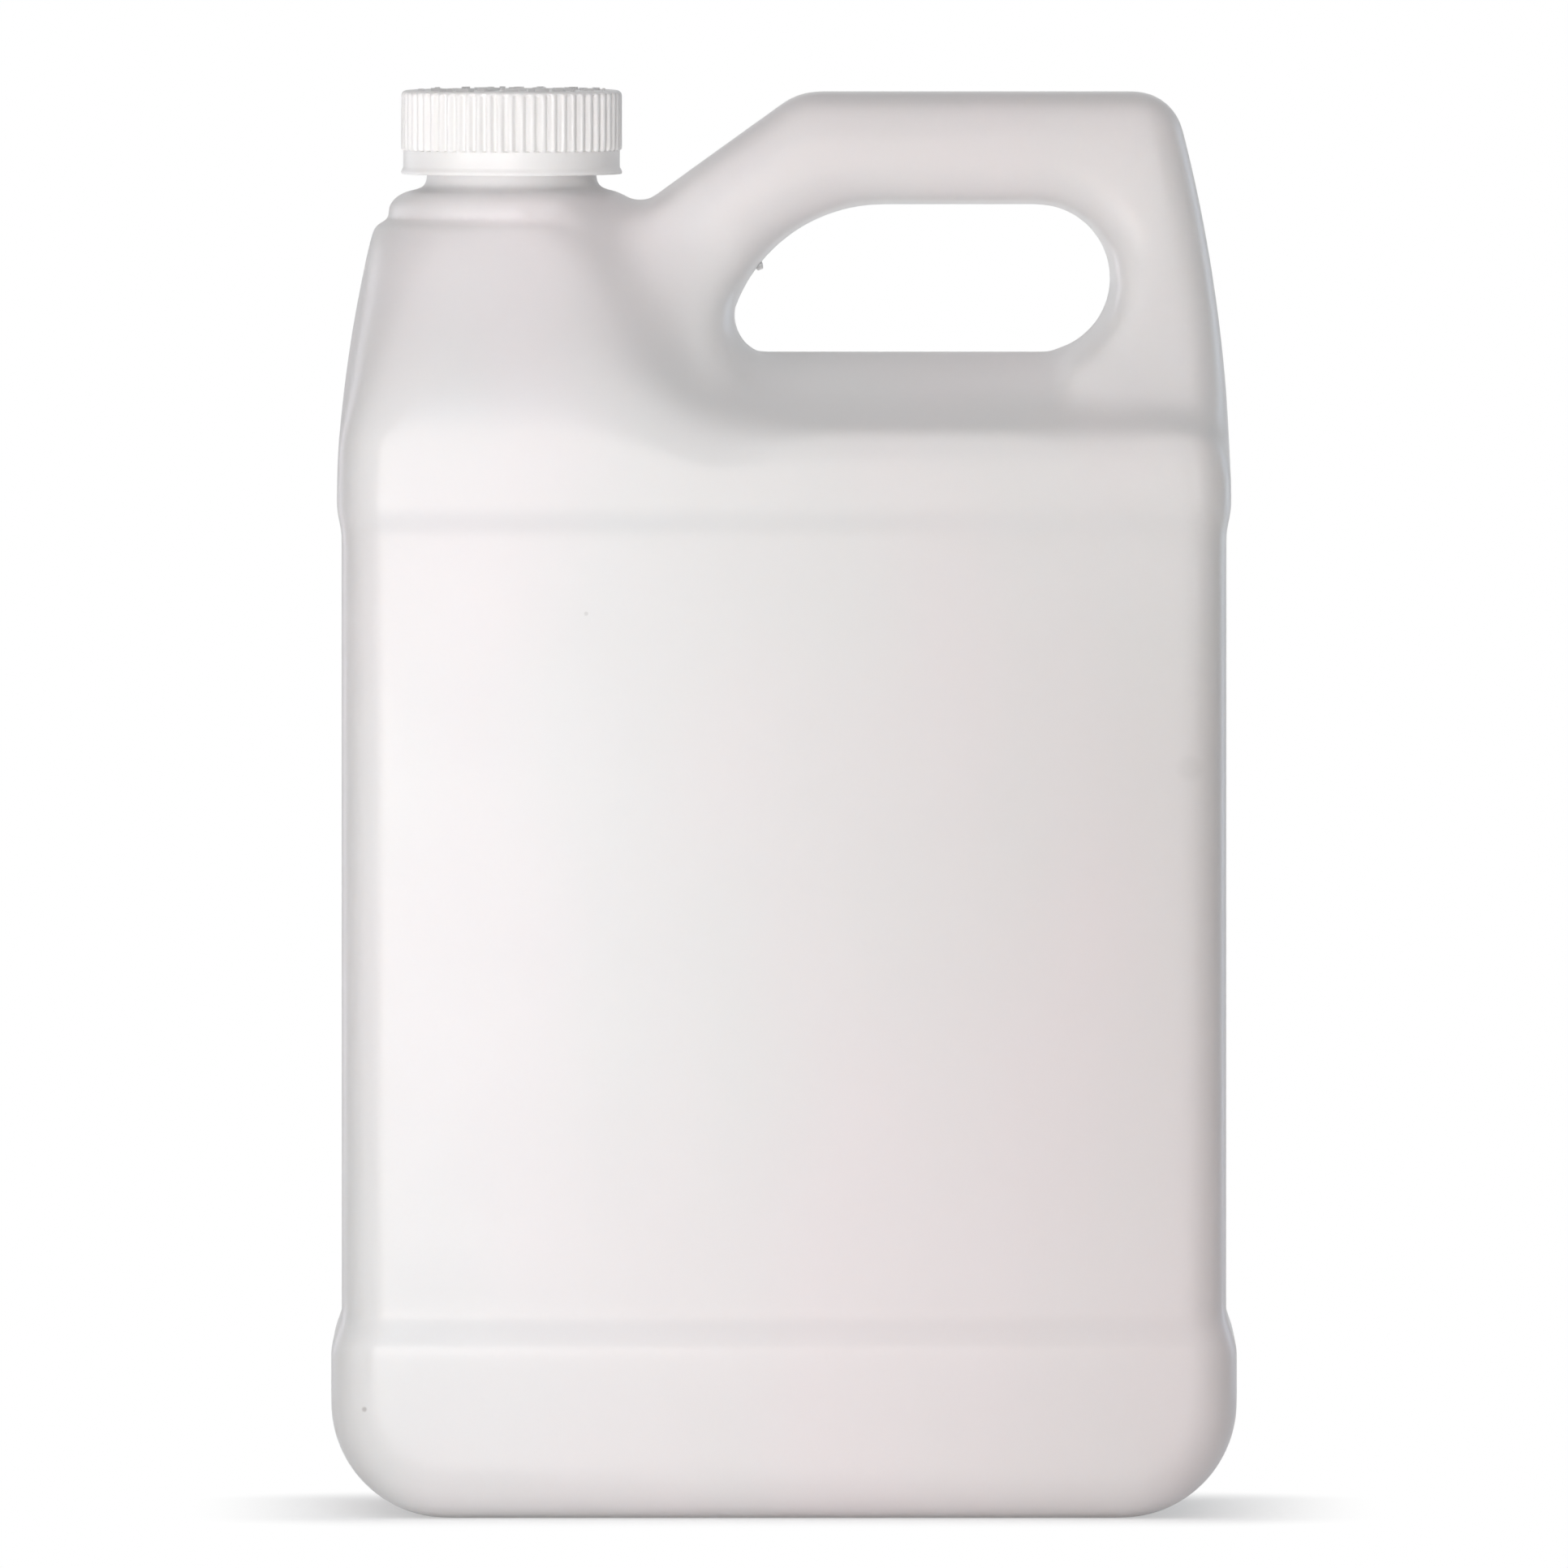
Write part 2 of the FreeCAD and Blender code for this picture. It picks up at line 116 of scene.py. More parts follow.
class Wiring:
    """Writes nodes into a node tree, and sets or links their inputs as they are made."""

    def __init__(self, tree):
        self.tree = tree

    def connect(self, node, inputs):
        """Links inputs to sockets, or sets them to values, by name or number."""
        for key, value in inputs.items():
            if isinstance(value, bpy.types.NodeSocket):
                self.tree.links.new(value, node.inputs[key])
            else:
                node.inputs[key].default_value = value

    def add(self, kind, inputs=None, **settings):
        """Adds a node, sets its properties, then its inputs."""
        node = self.tree.nodes.new(kind)
        for key, value in settings.items():
            setattr(node, key, value)
        self.connect(node, inputs or {})
        return node

    def math(self, operation, a, b=0.0):
        return self.add("ShaderNodeMath", {0: a, 1: b}, operation=operation).outputs[0]

    def ramp(self, value, low, high, start=0.0, end=1.0):
        """Eases from start to end while the value goes from low to high."""
        sizes = {"Value": value, "From Min": low, "From Max": high, "To Min": start, "To Max": end}
        eased = self.add("ShaderNodeMapRange", sizes, interpolation_type="SMOOTHSTEP")
        return eased.outputs["Result"]


# ---- materials -----------------------------------------------------------------------------
class Coat(Wiring):
    """Nodes of a material whose Principled shader is already there."""

    def __init__(self, name):
        self.material = bpy.data.materials.new(name)
        self.material.use_nodes = True
        super().__init__(self.material.node_tree)
        self.shader = self.tree.nodes["Principled BSDF"]
        self.coords = self.add("ShaderNodeTexCoord").outputs["Object"]

    def noise(self, scale, detail, stretch=(1, 1, 1)):
        """Noise over Object coordinates, in features per metre."""
        mapped = self.add("ShaderNodeMapping", {"Vector": self.coords, "Scale": stretch})
        sizes = {"Vector": mapped.outputs["Vector"], "Scale": scale, "Detail": detail}
        return self.add("ShaderNodeTexNoise", sizes).outputs["Fac"]

    def two_tone(self, value, dark, light):
        """Goes from one colour to another; each is its place on the ramp and its colour."""
        tint = self.add("ShaderNodeValToRGB", {"Fac": value})
        for element, (place, colour) in zip(tint.color_ramp.elements, (dark, light)):
            element.position = place
            element.color = colour
        return tint.outputs["Color"]

    def mixed(self, share, first, second):
        mix = self.add("ShaderNodeMix", {0: share, 6: first, 7: second}, data_type="RGBA")
        return mix.outputs[2]

    def set_surface(self, colour, rough_noise, rough, grain, strength, depth):
        """Colour, uneven roughness and the bumps of a fine grain."""
        spread = {"Value": rough_noise, "To Min": rough[0], "To Max": rough[1]}
        roughness = self.add("ShaderNodeMapRange", spread).outputs["Result"]
        bump = self.add("ShaderNodeBump", {"Strength": strength, "Distance": depth,
                                           "Height": grain})
        self.connect(self.shader, {"Base Color": colour, "Roughness": roughness,
                                   "Normal": bump.outputs["Normal"]})

    def set_glow(self, weight, depth):
        """Lets light spread below the surface."""
        self.connect(self.shader, {"Subsurface Weight": weight,
                                   "Subsurface Radius": (1.0, 0.95, 0.9),
                                   "Subsurface Scale": depth})


def greyed_spot_colour(coat, colour, place, grey_spot):
    """Greys the colour round one spot of the front, out to its radius; used for dark specks and for
    the painted shade of a dent.
    """
    x, z, radius, strength = grey_spot
    spot = coat.add("ShaderNodeCombineXYZ", {"X": place["X"], "Z": place["Z"]}).outputs[0]
    gap = coat.add("ShaderNodeVectorMath", {0: spot, 1: (x, 0, z)}, operation="DISTANCE")
    greyed = coat.ramp(gap.outputs["Value"], 0.35 * radius, radius, strength, 0.0)
    front = coat.math("LESS_THAN", place["Y"], 0.0)
    return coat.mixed(coat.math("MULTIPLY", greyed, front), colour, (0.55, 0.54, 0.53, 1))


def milky_polyethylene():
    """Natural blow-moulded polyethylene: satin, cloudy, with painted light that makes the neck above
    the bead palest.
    """
    coat = Coat("milky_polyethylene")
    cloud = coat.noise(14, 2.0, (1, 1, 0.45))
    colour = coat.two_tone(cloud, (0.36, (0.79, 0.79, 0.785, 1)),
                           (0.64, (0.825, 0.785, 0.79, 1)))
    place = coat.add("ShaderNodeSeparateXYZ", {0: coat.coords}).outputs
    # painted light: the neck above the bead and left of the saddle is made near white, against the
    # shade under the cap
    painted_neck_light = coat.ramp(place["Z"], BEAD_TOP_Z - 2.5 * MM, BEAD_TOP_Z + 1.5 * MM)
    painted_neck_light = coat.math("MULTIPLY", painted_neck_light, coat.math("LESS_THAN", place["X"], SADDLE_X))
    colour = coat.mixed(painted_neck_light, colour, (0.97, 0.965, 0.97, 1))
    # grey spots: painted shade of a shallow dent on the right corner, and two dark specks
    for grey_spot in SPECKS_AND_DENT_SHADE:
        colour = greyed_spot_colour(coat, colour, place, grey_spot)
    coat.set_surface(colour, coat.noise(45, 3.0), (0.29, 0.37),
                     coat.noise(900, 3.0), 0.08, 0.1 * MM)
    coat.set_glow(0.5, 6 * MM)
    return coat.material


def white_polypropylene():
    """Moulded white closure plastic: satin, with a fine even grain."""
    coat = Coat("white_polypropylene")
    cloud = coat.noise(120, 2.0)
    colour = coat.two_tone(cloud, (0.0, (0.9, 0.895, 0.885, 1)),
                           (1.0, (0.92, 0.915, 0.905, 1)))
    grain = coat.noise(2500, 2.0)
    coat.set_surface(colour, grain, (0.3, 0.42), grain, 0.05, 0.03 * MM)
    coat.set_glow(0.2, 1.5 * MM)
    return coat.material


# ---- the jug's skin --------------------------------------------------------------------------
def merged_copy(node, name):
    """Copy of a CAD node whose loose triangles share their corners."""
    shape = bmesh.new()
    shape.from_mesh(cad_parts[node].data)
    bmesh.ops.remove_doubles(shape, verts=shape.verts, dist=0.001 * MM)
    if node == "jug":
        bridged(shape)
    mesh = bpy.data.meshes.new(name)
    shape.to_mesh(mesh)
    shape.free()
    return add_object(name, mesh)


def relax(points, edges, weight, rounds):
    """Draws each point towards the mean of its neighbours, by its weight."""
    starts, ends = edges[:, 0], edges[:, 1]
    count = np.bincount(edges.ravel(), minlength=len(points))
    for _ in range(rounds):
        for axis in range(3):
            line = points[:, axis]
            total = np.bincount(starts, line[ends], len(points))
            total += np.bincount(ends, line[starts], len(points))
            line += weight * (total / count - line)


def soften(points, edges, weight, rounds):
    """Relaxes only the points that have some weight, and leaves the others where they are."""
    near = weight > 0
    used = near[edges].any(axis=1)
    picked = np.unique(edges[used])
    number = np.zeros(len(points), np.int64)
    number[picked] = np.arange(len(picked))
    part = points[picked]
    relax(part, number[edges[used]], np.where(near, weight, 0)[picked], rounds)
    points[picked] = part


def segment_distance(x, z, start, end):
    """Distance on the parting plane from a line between two places."""
    across, up = end[0] - start[0], end[1] - start[1]
    share = np.clip(((x - start[0]) * across + (z - start[1]) * up) / (across ** 2 + up ** 2),
                    0, 1)
    return np.hypot(x - start[0] - share * across, z - start[1] - share * up)


def within(inner, outer, gap):
    """One out to an inner distance, easing to zero at an outer one."""
    return 1 - smooth_step(inner, outer, gap)


def round_blown_corners(points, edges):
    """Rounds the places where a parison can't follow a sharp mould, each by rounds of relaxing."""
    x, y, z = points.T
    out = np.abs(y)
    crease = within(3 * MM, 10 * MM, np.abs(z - CREASE_Z)) * smooth_step(-40 * MM, -20 * MM, x)
    soften(points, edges, RELAX_SHARE * crease, 70)
    off_seam = (smooth_step(2 * MM, 9 * MM, out)
                * smooth_step(CREASE_Z - 5 * MM, CREASE_Z + 4 * MM, z))
    foot = within(9 * MM, 19 * MM, segment_distance(x, z, HOLE_NECK_FOOT, ROOF_NECK_END))
    soften(points, edges, RELAX_SHARE * foot * off_seam, 170)
    heel = within(7 * MM, 16 * MM, segment_distance(x, z, HOLE_ROUND_FOOT, ROOF_HANDLE_END))
    soften(points, edges, RELAX_SHARE * heel * off_seam, 120)
    valley = within(6 * MM, 17 * MM, segment_distance(x, z, VALLEY_TOP, VALLEY_FOOT))
    soften(points, edges, RELAX_SHARE * valley * smooth_step(3 * MM, 12 * MM, out), 220)
    wall = smooth_step(CREASE_Z - 3 * MM, CREASE_Z + 12 * MM, z) * within(252 * MM, 264 * MM, z)
    soften(points, edges, RELAX_SHARE * wall * within(-30 * MM, -18 * MM, x), 300)
    reach = np.hypot(x - NECK_X, y)
    ring = smooth_step(19 * MM, 22 * MM, reach) * within(30 * MM, 36 * MM, reach)
    ring *= within(3 * MM, 6 * MM, np.abs(z - GROOVE_Z))
    soften(points, edges, RELAX_SHARE * ring, 14)
    root = within(19 * MM, 22 * MM, reach) * within(1.5 * MM, 4 * MM, np.abs(z - BEAD_TOP_Z))
    soften(points, edges, RELAX_SHARE * root, 10)


def bridged(shape):
    """Adds the blob of plastic that fills the notch between the bead and the sloping bar."""
    made = bmesh.ops.create_uvsphere(shape, u_segments=24, v_segments=16, radius=SADDLE_RADIUS)
    bmesh.ops.scale(shape, vec=(1, 1.7, 1), verts=made["verts"])
    bmesh.ops.translate(shape, vec=(SADDLE_X, 0, SADDLE_TOP - SADDLE_RADIUS), verts=made["verts"])


def add_flash(mesh):
    """Leaves a crumb of trimmed plastic on the parting line inside the hand hole."""
    shape = bmesh.new()
    shape.from_mesh(mesh)
    crumb = bmesh.ops.create_icosphere(shape, subdivisions=3, radius=1.0)["verts"]
    for vert in crumb:
        vert.co *= 1 + 0.12 * math.sin(4 * vert.co.x + 3 * vert.co.z)
    bmesh.ops.scale(shape, vec=FLASH_SIZE, verts=crumb)
    bmesh.ops.translate(shape, vec=FLASH_PLACE, verts=crumb)
    shape.to_mesh(mesh)
    shape.free()


def jug_skin():
    """The jug as one soft skin: the CAD solid, its creases rounded as blown plastic rounds them."""
    skin = merged_copy("jug", "jug_skin")
    remesh = skin.modifiers.new("skin", "REMESH")
    remesh.mode = "VOXEL"
    remesh.voxel_size = SKIN_VOXEL
    settle(skin)
    mesh = skin.data
    points = np.empty(len(mesh.vertices) * 3)
    mesh.vertices.foreach_get("co", points)
    points = points.reshape(-1, 3)
    edges = np.empty(len(mesh.edges) * 2, np.int32)
    mesh.edges.foreach_get("vertices", edges)
    edges = edges.reshape(-1, 2)
    relax(points, edges, 0.5, 6)
    round_blown_corners(points, edges)
    mesh.vertices.foreach_set("co", points.ravel())
    mesh.update()
    thin = skin.modifiers.new("thin", "DECIMATE")
    thin.ratio = SKIN_TRIANGLES / (2 * len(mesh.polygons))
    settle(skin)
    add_flash(skin.data)
    skin.data.shade_smooth()
    return skin


# ---- the cap -----------------------------------------------------------------------------------
def cap_profile():
    """Radius and height of the closure's wall, from the centre of its inside round to its top."""
    crest = CAP_RADIUS
    band = crest - CAP_BAND
    edge = CAP_EDGE_ROUND
    inside = CAP_HEIGHT - CAP_TOP_WALL
    points = [(0.0, inside), (CAP_BORE - CAP_INNER_ROUND, inside),
              (CAP_BORE, inside - CAP_INNER_ROUND)]
    points += [(CAP_BORE, CAP_MOUTH_CHAMFER), (CAP_BORE + CAP_MOUTH_CHAMFER, 0.0)]
    points += [(crest - CAP_CHAMFER, 0.0), (crest, CAP_CHAMFER), (crest, CAP_FLANGE - CAP_CHAMFER)]
    points += [(crest - CAP_CHAMFER, CAP_FLANGE + CAP_CHAMFER),
               (band + 0.05 * MM, CAP_FLANGE + 0.6 * MM)]
    slope_top = CAP_FLANGE + CAP_FLANGE_SLOPE
    tall = CAP_RIBS_BOTTOM - 2 * CAP_CHAMFER - slope_top
    points += [(band, slope_top + tall * share) for share in (0.0, 0.5, 0.92, 1.0)]
    points += [(band, CAP_RIBS_BOTTOM - CAP_CHAMFER), (band + 0.05 * MM, CAP_RIBS_BOTTOM)]
    ribs_start = CAP_RIBS_BOTTOM + 0.4 * MM
    points += [(crest - 0.12 * MM, CAP_RIBS_BOTTOM + 0.12 * MM), (crest, ribs_start)]
    top = CAP_HEIGHT - RELIEF_HEIGHT
    straight = top - edge - ribs_start
    points += [(crest, ribs_start + straight * i / 6) for i in range(1, 7)]
    for i in range(1, 9):
        turn = math.radians(90 * i / 8)
        points.append((crest - edge * (1 - math.cos(turn)), top - edge * (1 - math.sin(turn))))
    recess = top - CAP_CHAMFER
    points += [(crest - 2.2 * MM, top), (crest - 2.4 * MM, recess),
               (crest - 6 * MM, recess), (0.0, recess)]
    return points


def turned(name, profile, centre, segments):
    """Closed solid of revolution about a vertical axis, with single points on the axis."""
    shape = bmesh.new()
    rings = []
    for radius, height in profile:
        if radius == 0:
            rings.append([shape.verts.new((centre.x, centre.y, centre.z + height))])
            continue
        ring = []
        for i in range(segments):
            turn = math.tau * i / segments
            ring.append(shape.verts.new((centre.x + radius * math.cos(turn),
                                         centre.y + radius * math.sin(turn), centre.z + height)))
        rings.append(ring)
    for low, high in zip(rings, rings[1:]):
        for i in range(segments):
            j = (i + 1) % segments
            corners = [low[i % len(low)], low[j % len(low)],
                       high[j % len(high)], high[i % len(high)]]
            shape.faces.new(list(dict.fromkeys(corners)))
    bmesh.ops.recalc_face_normals(shape, faces=shape.faces)
    mesh = bpy.data.meshes.new(name)
    shape.to_mesh(mesh)
    shape.free()
    mesh.shade_smooth()
    return add_object(name, mesh)


class Tree(Wiring):
    """Geometry Nodes tree with named inputs."""

    def __init__(self, name, sizes):
        super().__init__(bpy.data.node_groups.new(name, "GeometryNodeTree"))
        sides = self.tree.interface
        sides.new_socket("Geometry", in_out="INPUT", socket_type="NodeSocketGeometry")
        sides.new_socket("Geometry", in_out="OUTPUT", socket_type="NodeSocketGeometry")
        self.sizes = sizes
        self.sockets = {}
        for label, (kind, _) in sizes.items():
            socket = sides.new_socket(label, in_out="INPUT", socket_type=kind)
            self.sockets[label] = socket.identifier
        self.inlet = self.tree.nodes.new("NodeGroupInput")
        self.outlet = self.tree.nodes.new("NodeGroupOutput")

    def size(self, label):
        return self.inlet.outputs[label]

    def finish(self, geometry, material):
        """Ends the tree: instances made real, material set."""
        real = self.add("GeometryNodeRealizeInstances", {"Geometry": geometry})
        coated = self.add("GeometryNodeSetMaterial", {"Geometry": real.outputs[0],
                                                      "Material": material})
        self.tree.links.new(coated.outputs[0], self.outlet.inputs[0])

    def run(self, thing):
        """Runs the tree on a piece, and keeps the result as its plain mesh."""
        modifier = thing.modifiers.new(self.tree.name, "NODES")
        modifier.node_group = self.tree
        for label, (_, value) in self.sizes.items():
            modifier[self.sockets[label]] = value
        return settle(thing)


def cut_ribs(cap, material):
    """Presses the valleys between the ribs into the closure's wall."""
    tree = Tree("closure_ribs", {
        "Rib Count": ("NodeSocketInt", RIB_COUNT),
        "Axis": ("NodeSocketVector", (cap_centre.x, cap_centre.y, 0.0)),
        "Valley Depth": ("NodeSocketFloat", 1.05 * MM),
        "Valley Share": ("NodeSocketFloat", 0.4),
        "Ribs Bottom": ("NodeSocketFloat", cap_low.z + CAP_RIBS_BOTTOM),
        "Ribs Top": ("NodeSocketFloat", cap_high.z - RELIEF_HEIGHT - 0.35 * MM),
        "Wall Radius": ("NodeSocketFloat", CAP_RADIUS - 1.2 * MM)})
    place = tree.add("GeometryNodeInputPosition").outputs[0]
    arm = tree.add("ShaderNodeVectorMath", {0: place, 1: tree.size("Axis")}, operation="SUBTRACT")
    parts = tree.add("ShaderNodeSeparateXYZ", {0: arm.outputs[0]})
    turn = tree.math("ARCTAN2", parts.outputs["Y"], parts.outputs["X"])
    turns = tree.math("DIVIDE", turn, math.tau)
    phase = tree.math("PINGPONG", tree.math("MULTIPLY", turns, tree.size("Rib Count")), 0.5)
    valley = tree.math("SUBTRACT", 1.0, tree.ramp(phase, 0.05, tree.size("Valley Share")))
    height = parts.outputs["Z"]
    above = tree.ramp(height, tree.math("SUBTRACT", tree.size("Ribs Bottom"), 0.1 * MM),
                      tree.math("ADD", tree.size("Ribs Bottom"), 0.1 * MM))
    below = tree.ramp(height, tree.size("Ribs Top"),
                      tree.math("SUBTRACT", tree.size("Ribs Top"), 0.7 * MM))
    flat = tree.add("ShaderNodeCombineXYZ", {"X": parts.outputs["X"], "Y": parts.outputs["Y"]})
    flat = flat.outputs[0]
    reach = tree.add("ShaderNodeVectorMath", {0: flat}, operation="LENGTH").outputs["Value"]
    outer = tree.math("GREATER_THAN", reach, tree.size("Wall Radius"))
    depth = tree.math("MULTIPLY", tree.math("MULTIPLY", valley, above),
                      tree.math("MULTIPLY", below, outer))
    depth = tree.math("MULTIPLY", depth, tree.size("Valley Depth"))
    outward = tree.add("ShaderNodeVectorMath", {0: flat}, operation="NORMALIZE").outputs[0]
    inward = tree.add("ShaderNodeVectorMath",
                      {0: outward, "Scale": tree.math("MULTIPLY", depth, -1.0)},
                      operation="SCALE").outputs[0]
    moved = tree.add("GeometryNodeSetPosition", {"Geometry": tree.inlet.outputs[0],
                                                 "Offset": inward})
    tree.finish(moved.outputs[0], material)
    return tree.run(cap)


def mark_ring(tree, label, seed):
    """Ring of small raised blocks, turned towards the axis, uneven in size, with some left out."""
    places = tree.add("GeometryNodeMeshCircle", {"Vertices": tree.size(label + " Count"),
                                                 "Radius": tree.size(label + " Radius")})
    spot = tree.add("GeometryNodeInputPosition").outputs[0]
    parts = tree.add("ShaderNodeSeparateXYZ", {0: spot})
    turn = tree.math("ARCTAN2", parts.outputs["Y"], parts.outputs["X"])
    facing = tree.add("ShaderNodeCombineXYZ", {"Z": turn}).outputs[0]
    block = tree.add("GeometryNodeMeshCube", {"Size": tree.size(label + " Block")})
    spread = {"Min": (0.8, 0.35, 1.0), "Max": (1.3, 1.5, 1.0), "Seed": seed}
    uneven = tree.add("FunctionNodeRandomValue", spread, data_type="FLOAT_VECTOR")
    kept = tree.add("FunctionNodeRandomValue", {"Probability": 0.8, "Seed": seed + 1},
                    data_type="BOOLEAN")
    ring = tree.add("GeometryNodeInstanceOnPoints", {
        "Points": places.outputs[0], "Instance": block.outputs[0], "Rotation": facing,
        "Scale": uneven.outputs["Value"], "Selection": kept.outputs[3]})
    return ring.outputs[0]


def raise_marks(cap, material):
    """Embosses the closure's top with plain blocks, in place of any wording."""
    height = RELIEF_HEIGHT + 0.3 * MM
    # for each ring: how many blocks, its radius, and a block's depth and width, in millimetres
    rings = {"Edge": (15, 19.2, (0.7, 1.6)), "Outer": (17, 16.0, (1.6, 2.2)),
             "Inner": (12, 11.4, (2.0, 2.6)), "Core": (8, 6.4, (1.8, 2.6)),
             "Heart": (3, 2.4, (1.4, 1.6))}
    sizes = {"Top": ("NodeSocketVector",
                     (cap_centre.x, cap_centre.y, cap_high.z - 0.01 * MM - height / 2))}
    for label, (count, radius, (deep, wide)) in rings.items():
        sizes[label + " Count"] = ("NodeSocketInt", count)
        sizes[label + " Radius"] = ("NodeSocketFloat", radius * MM)
        sizes[label + " Block"] = ("NodeSocketVector", (deep * MM, wide * MM, height))
    tree = Tree("closure_marks", sizes)
    marks = tree.add("GeometryNodeJoinGeometry")
    for seed, label in enumerate(rings):
        tree.tree.links.new(mark_ring(tree, label, 20 + 2 * seed), marks.inputs[0])
    lifted = tree.add("GeometryNodeTransform", {"Geometry": marks.outputs[0],
                                                "Translation": tree.size("Top")})
    joined = tree.add("GeometryNodeJoinGeometry")
    tree.tree.links.new(tree.inlet.outputs[0], joined.inputs[0])
    tree.tree.links.new(lifted.outputs[0], joined.inputs[0])
    tree.finish(joined.outputs[0], material)
    return tree.run(cap)


def ribbed_cap(material):
    foot = Vector((cap_centre.x, cap_centre.y, cap_low.z))
    cap = turned("ribbed_cap", cap_profile(), foot, RIB_COUNT * 12)
    raise_marks(cut_ribs(cap, material), material)
    cap.data.shade_smooth()
    cap.data.set_sharp_from_angle(angle=math.radians(55))
    return cap


# ---- studio ------------------------------------------------------------------------------------
FOOTPRINT = (0.08, 0.034, 0)  # half sizes of the jug's resting rim
SHADOW_REACH = 0.045          # how far from there the floor turns plain white
SHADOW_SHARE = 0.55           # how much of the floor's own shading shows beside the jug


def point_at(thing, target):
    thing.rotation_euler = (Vector(target) - thing.location).to_track_quat("-Z", "Y").to_euler()


def add_area(name, place, target, width, height, watts, colour=(1, 1, 1), spread=180):
    """Rectangular lamp that faces a target; the spread narrows its beam, in degrees."""
    lamp = bpy.data.lights.new(name, "AREA")
    lamp.shape = "RECTANGLE"
    lamp.size = width
    lamp.size_y = height
    lamp.energy = watts
    lamp.color = colour
    lamp.spread = math.radians(spread)
    thing = bpy.data.objects.new(name, lamp)
    bpy.context.scene.collection.objects.link(thing)
    thing.location = place
    point_at(thing, target)
    return thing


def add_camera():
    """Level with the middle of the jug from far away, looking down on it by two degrees."""
    reach = 10.0
    rise = math.radians(2.0)
    view_width = 0.3265
    target = Vector((0.0, 0.0, 0.1511))
    data = bpy.data.cameras.new("camera")
    data.sensor_width = 36
    data.lens = data.sensor_width * reach / view_width
    data.clip_end = 200
    camera = bpy.data.objects.new("camera", data)
    bpy.context.scene.collection.objects.link(camera)
    camera.location = target + reach * Vector((0, -math.cos(rise), math.sin(rise)))
    point_at(camera, target)
    bpy.context.scene.camera = camera


def seen_directly(wiring):
    """One for what the camera or a mirror sees, zero for what only gives or takes soft light."""
    path = wiring.add("ShaderNodeLightPath")
    return wiring.math("MAXIMUM", path.outputs["Is Camera Ray"], path.outputs["Is Glossy Ray"])


def add_floor():
    """Pale floor: shaded round the jug's foot, plain white further out."""
    mesh = bpy.data.meshes.new("floor")
    half = 40.0
    corners = [(-half, -half, 0), (half, -half, 0), (half, half, 0), (-half, half, 0)]
    mesh.from_pydata(corners, [], [(0, 1, 2, 3)])
    floor = add_object("floor", mesh)
    coat = Coat("pale_floor")
    coat.connect(coat.shader, {"Base Color": (0.9, 0.9, 0.9, 1), "Roughness": 0.8})
    last = coat.add("ShaderNodeVectorMath", {0: coat.coords}, operation="ABSOLUTE").outputs["Vector"]
    for operation, amount in (("SUBTRACT", FOOTPRINT), ("MAXIMUM", (0, 0, 0))):
        last = coat.add("ShaderNodeVectorMath", {0: last, 1: amount},
                        operation=operation).outputs["Vector"]
    away = coat.add("ShaderNodeVectorMath", {0: last}, operation="LENGTH").outputs["Value"]
    far = coat.ramp(away, 0.0, SHADOW_REACH, 1 - SHADOW_SHARE)
    share = coat.math("MULTIPLY", seen_directly(coat), far)
    white = coat.add("ShaderNodeEmission").outputs[0]
    mix = coat.add("ShaderNodeMixShader", {0: share, 1: coat.shader.outputs[0], 2: white})
    coat.connect(coat.tree.nodes["Material Output"], {"Surface": mix.outputs[0]})
    mesh.materials.append(coat.material)


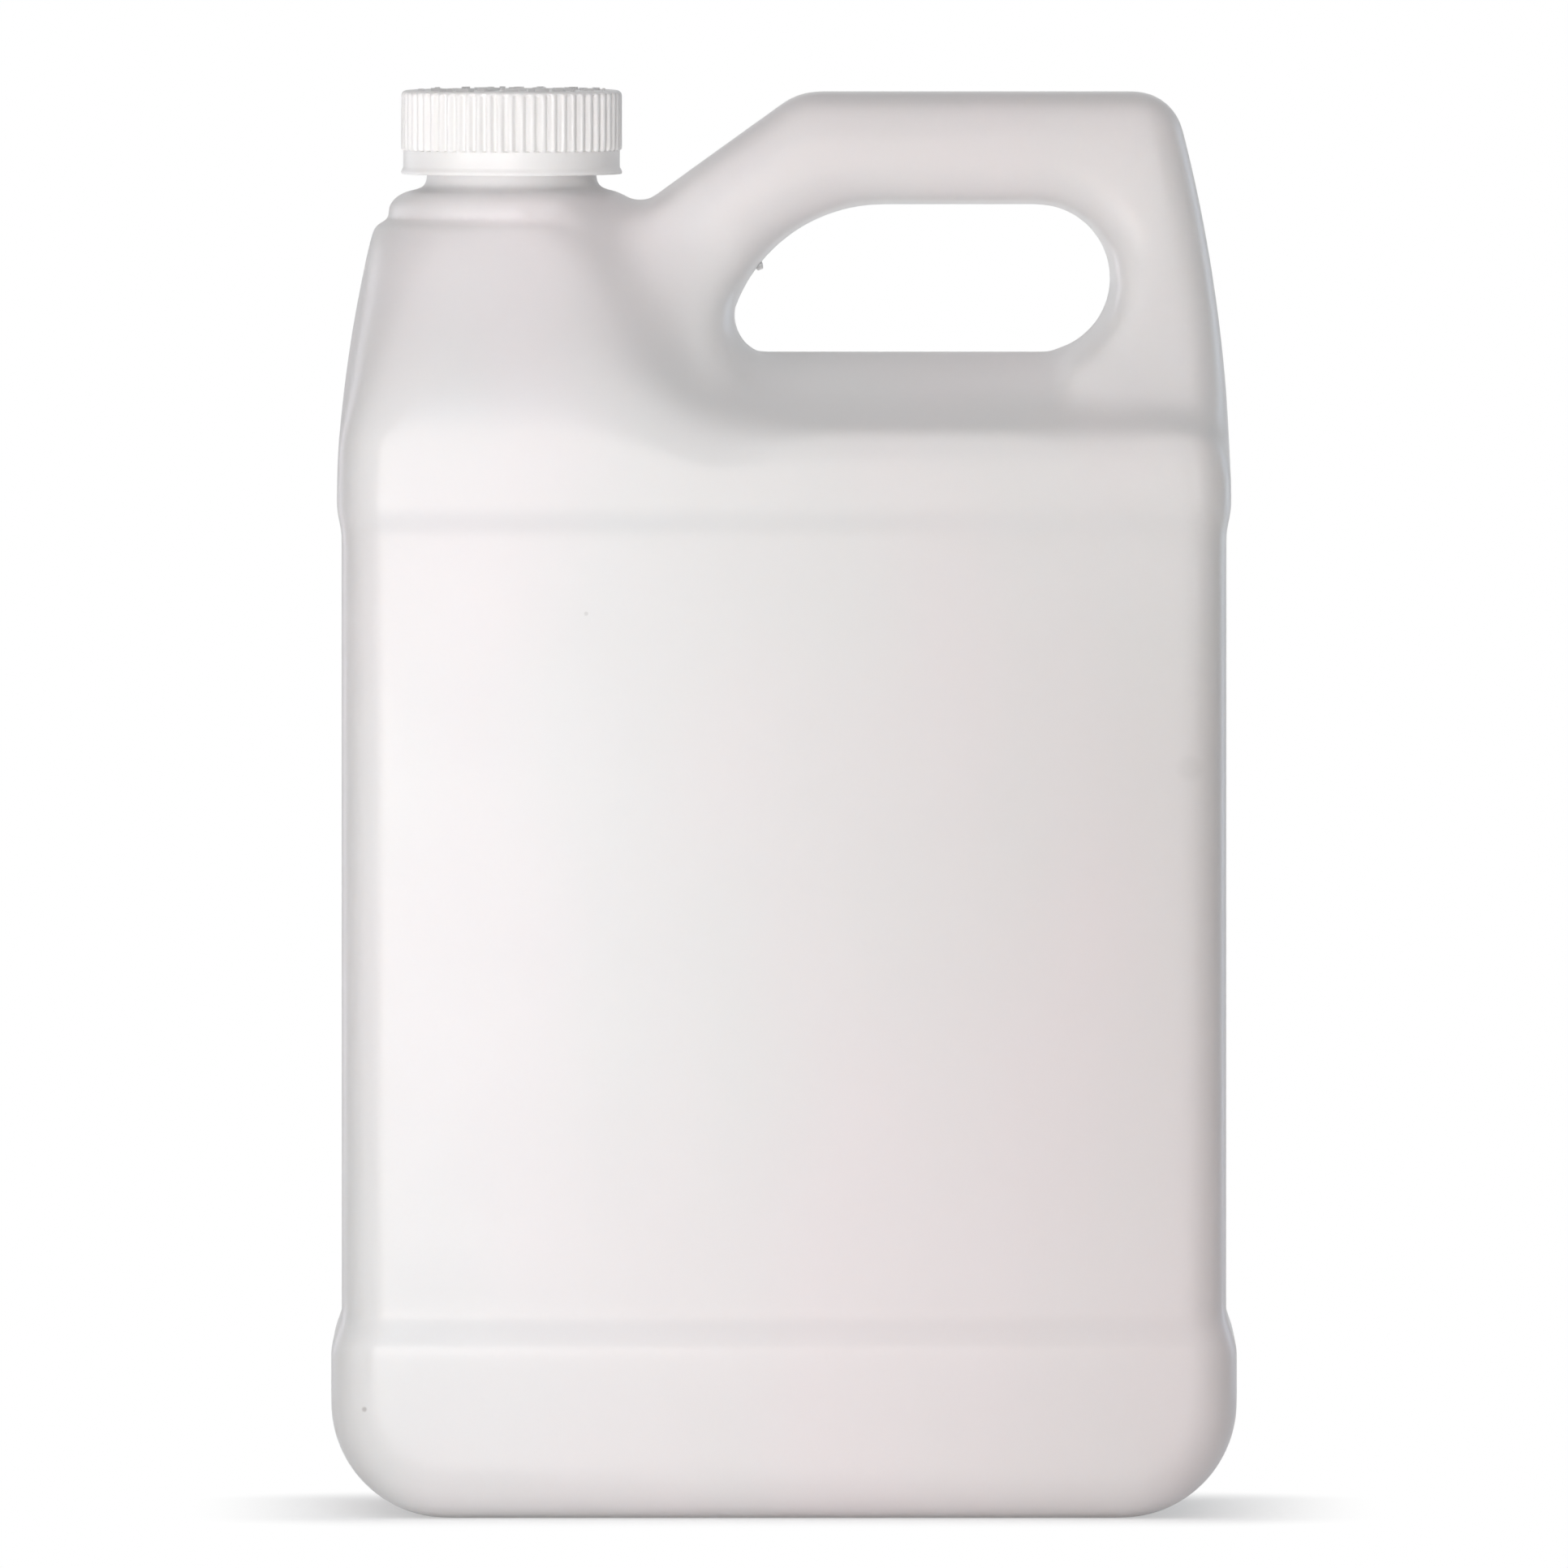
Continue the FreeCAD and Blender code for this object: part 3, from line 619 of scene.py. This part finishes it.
def add_world():
    """Dim even room light; the camera and reflections see plain white."""
    world = bpy.data.worlds.new("studio")
    bpy.context.scene.world = world
    world.use_nodes = True
    wiring = Wiring(world.node_tree)
    room = world.node_tree.nodes["Background"]
    wiring.connect(room, {"Color": (0.88, 1, 1, 1), "Strength": 0.09})
    white = wiring.add("ShaderNodeBackground").outputs[0]
    mix = wiring.add("ShaderNodeMixShader", {0: seen_directly(wiring), 1: room.outputs[0], 2: white})
    wiring.connect(world.node_tree.nodes["World Output"], {"Surface": mix.outputs[0]})


def add_lights():
    """Softboxes in front, mostly from the left, a top light, two beams, and lights from behind."""
    middle = (0, 0, 0.14)
    warm, pale, rosy = (1.0, 0.87, 0.79), (1.0, 0.93, 0.92), (1.0, 0.95, 0.94)
    add_area("front_softbox", (-0.15, -0.8, 0.13), middle, 0.22, 0.45, 2.08, warm)
    add_area("left_softbox", (-0.75, -0.6, 0.16), middle, 0.4, 0.8, 0.619, (1.0, 0.92, 0.86))
    add_area("right_fill", (0.3, -0.85, 0.2), (0.06, 0, 0.14), 0.5, 0.5, 0.25, pale)
    add_area("edge_strip", (-0.08, -0.25, 0.13), (-0.08, 0, 0.13), 0.05, 0.45, 0.25, (0.8, 0.9, 1.0))
    add_area("low_strip", (0, -0.25, 0.025), (0, 0, 0.025), 0.3, 0.03, 0.035)
    add_area("top_softbox", (0, -0.4, 1.1), middle, 1.6, 0.9, 4.0, (1.0, 0.95, 0.97))
    add_area("handle_spot", (0.4, -0.62, 0.24), (0.08, 0, 0.262), 0.08, 0.08, 0.0062, rosy, 16)
    add_area("cap_spot", (-0.34, -0.27, 0.25), (cap_centre.x, 0, 0.293), 0.05, 0.05, 0.0034,
             spread=18)
    add_area("right_rim", (0.8, 0.62, 0.2), middle, 0.3, 0.8, 1.7, (0.76, 0.86, 1.0))
    add_area("left_rim", (-0.7, 0.6, 0.2), middle, 0.3, 0.8, 1.4, (0.92, 0.91, 1.0))
    back = add_area("back_softbox", (0, 1.1, 0.4), middle, 1.0, 0.8, 3.2)
    back.visible_glossy = False  # lights the back without a glare on the edges


bpy.context.scene.view_settings.view_transform = "Standard"
add_camera()
add_world()
add_lights()
add_floor()

polyethylene = milky_polyethylene()
polypropylene = white_polypropylene()

skin = jug_skin()
skin.data.materials.clear()
skin.data.materials.append(polyethylene)
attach(skin, "root")
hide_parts("jug")

cap = ribbed_cap(polypropylene)
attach(cap, "root")
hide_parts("cap")
